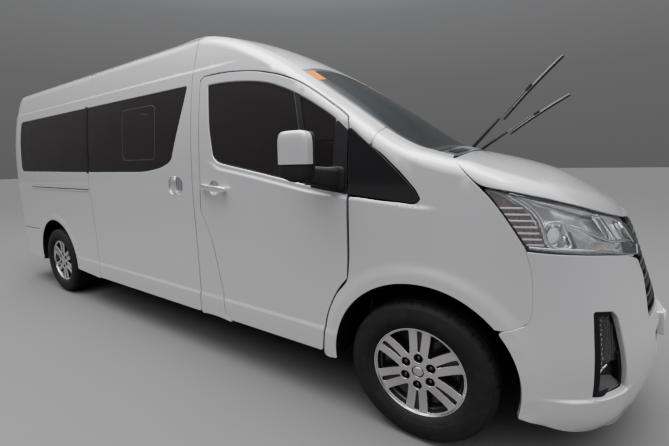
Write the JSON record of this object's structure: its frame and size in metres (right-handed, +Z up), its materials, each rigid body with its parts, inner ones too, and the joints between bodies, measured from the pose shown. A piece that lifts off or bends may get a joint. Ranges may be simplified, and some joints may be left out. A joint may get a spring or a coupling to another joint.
{
  "type": "passenger van",
  "caption": "High-roof long-wheelbase passenger van in silver, with hinged front doors, hood and tailgate, steered front wheels and wipers raised off the glass.",
  "frame": {"origin": "on the ground, under the centre of the whole van", "axes": "+X forward, +Y to the van's left, +Z up"},
  "size_m": [5.9148, 2.3, 2.2798],
  "materials": {
    "body_paint": "warm silver metallic, clear coated",
    "privacy_glass": "dark tinted safety glass",
    "lamp_glass": "clear moulded lamp cover",
    "lamp_red": "red lamp lens",
    "black_plastic": "grained black trim",
    "gloss_black": "piano black trim",
    "bright_trim": "plated trim",
    "alloy": "machined face, dark pockets",
    "tyre": "moulded tread and side wall",
    "under_steel": "black chassis paint",
    "bare_steel": "dull steel",
    "cast_block": "cast engine and gearbox",
    "seat_fabric": "woven seat cloth",
    "dash_plastic": "soft grained plastic",
    "floor_mat": "vinyl floor covering"
  },
  "bodies": {
    "root": {"floor_pan": "floor_mat", "chassis_frame": "under_steel", "roof_panel": "body_paint", "body_side_left": "body_paint", "body_side_right": "body_paint", "front_fenders": "body_paint", "cowl_panel": "under_steel", "windscreen": "privacy_glass", "side_glass": "privacy_glass", "sliding_door": "body_paint", "front_bumper": "body_paint", "grille": "gloss_black", "headlamps": "lamp_glass", "tail_lamps": "lamp_red", "rear_bumper": "body_paint", "wipers": "black_plastic", "dashboard": "dash_plastic", "front_seats": "seat_fabric", "rear_seats": "seat_fabric", "engine_block": "cast_block", "fuel_tank": "under_steel", "exhaust_pipe": "bare_steel", "rear_axle": "under_steel", "front_suspension": "under_steel", "wheel_liners": "black_plastic"},
    "front_door_left": {"front_door_left": "body_paint", "front_door_glass_left": "privacy_glass", "mirror_left": "body_paint"},
    "front_door_right": {"front_door_right": "body_paint", "front_door_glass_right": "privacy_glass", "mirror_right": "body_paint"},
    "tailgate": {"tailgate": "body_paint", "tailgate_glass": "privacy_glass"},
    "hood": {"hood": "body_paint"},
    "steering_wheel": {"steering_wheel": "black_plastic"},
    "knuckle_left": {"knuckle_left": "bare_steel"},
    "knuckle_right": {"knuckle_right": "bare_steel"},
    "wheel_front_left": {"rim_front_left": "alloy", "tyre_front_left": "tyre"},
    "wheel_front_right": {"rim_front_right": "alloy", "tyre_front_right": "tyre"},
    "wheel_rear_left": {"rim_rear_left": "alloy", "tyre_rear_left": "tyre"},
    "wheel_rear_right": {"rim_rear_right": "alloy", "tyre_rear_right": "tyre"}
  },
  "joints": [
    {"name": "front_door_right_hinge", "type": "hinge", "parent": "root", "child": "front_door_right", "pos_m": [1.577, -0.942, 0.9], "axis": [0, 0, 1], "range_deg": [0, 68]},
    {"name": "front_door_left_hinge", "type": "hinge", "parent": "root", "child": "front_door_left", "pos_m": [1.577, 0.942, 0.9], "axis": [0, 0, -1], "range_deg": [0, 68]},
    {"name": "tailgate_hinge", "type": "hinge", "parent": "root", "child": "tailgate", "pos_m": [-2.777, 0, 2.133], "axis": [0, 1, 0], "range_deg": [0, 85]},
    {"name": "hood_hinge", "type": "hinge", "parent": "root", "child": "hood", "pos_m": [2.078, 0, 1.392], "axis": [0, -1, 0], "range_deg": [0, 50]},
    {"name": "steer_right", "type": "hinge", "parent": "root", "child": "knuckle_right", "pos_m": [1.9725, -0.765, 0.347], "axis": [0, 0, 1], "range_deg": [-34, 34]},
    {"name": "steer_left", "type": "hinge", "parent": "root", "child": "knuckle_left", "pos_m": [1.9725, 0.765, 0.347], "axis": [0, 0, 1], "range_deg": [-34, 34]},
    {"name": "steering_wheel_turn", "type": "hinge", "parent": "root", "child": "steering_wheel", "pos_m": [1.33, 0.47, 1.19], "axis": [-0.8, 0, 0.6], "range_deg": [-477, 477]},
    {"name": "wheel_front_left_spin", "type": "hinge", "parent": "knuckle_left", "child": "wheel_front_left", "pos_m": [1.9725, 0.837, 0.347], "axis": [0, 1, 0], "continuous": true},
    {"name": "wheel_front_right_spin", "type": "hinge", "parent": "knuckle_right", "child": "wheel_front_right", "pos_m": [1.9725, -0.837, 0.347], "axis": [0, 1, 0], "continuous": true},
    {"name": "wheel_rear_left_spin", "type": "hinge", "parent": "root", "child": "wheel_rear_left", "pos_m": [-1.8875, 0.837, 0.347], "axis": [0, 1, 0], "continuous": true},
    {"name": "wheel_rear_right_spin", "type": "hinge", "parent": "root", "child": "wheel_rear_right", "pos_m": [-1.8875, -0.837, 0.347], "axis": [0, 1, 0], "continuous": true}
  ],
  "couplings": [
    {"joint": "steer_left", "follows": "steer_right", "ratio": 1},
    {"joint": "steering_wheel_turn", "follows": "steer_right", "ratio": 14}
  ]
}
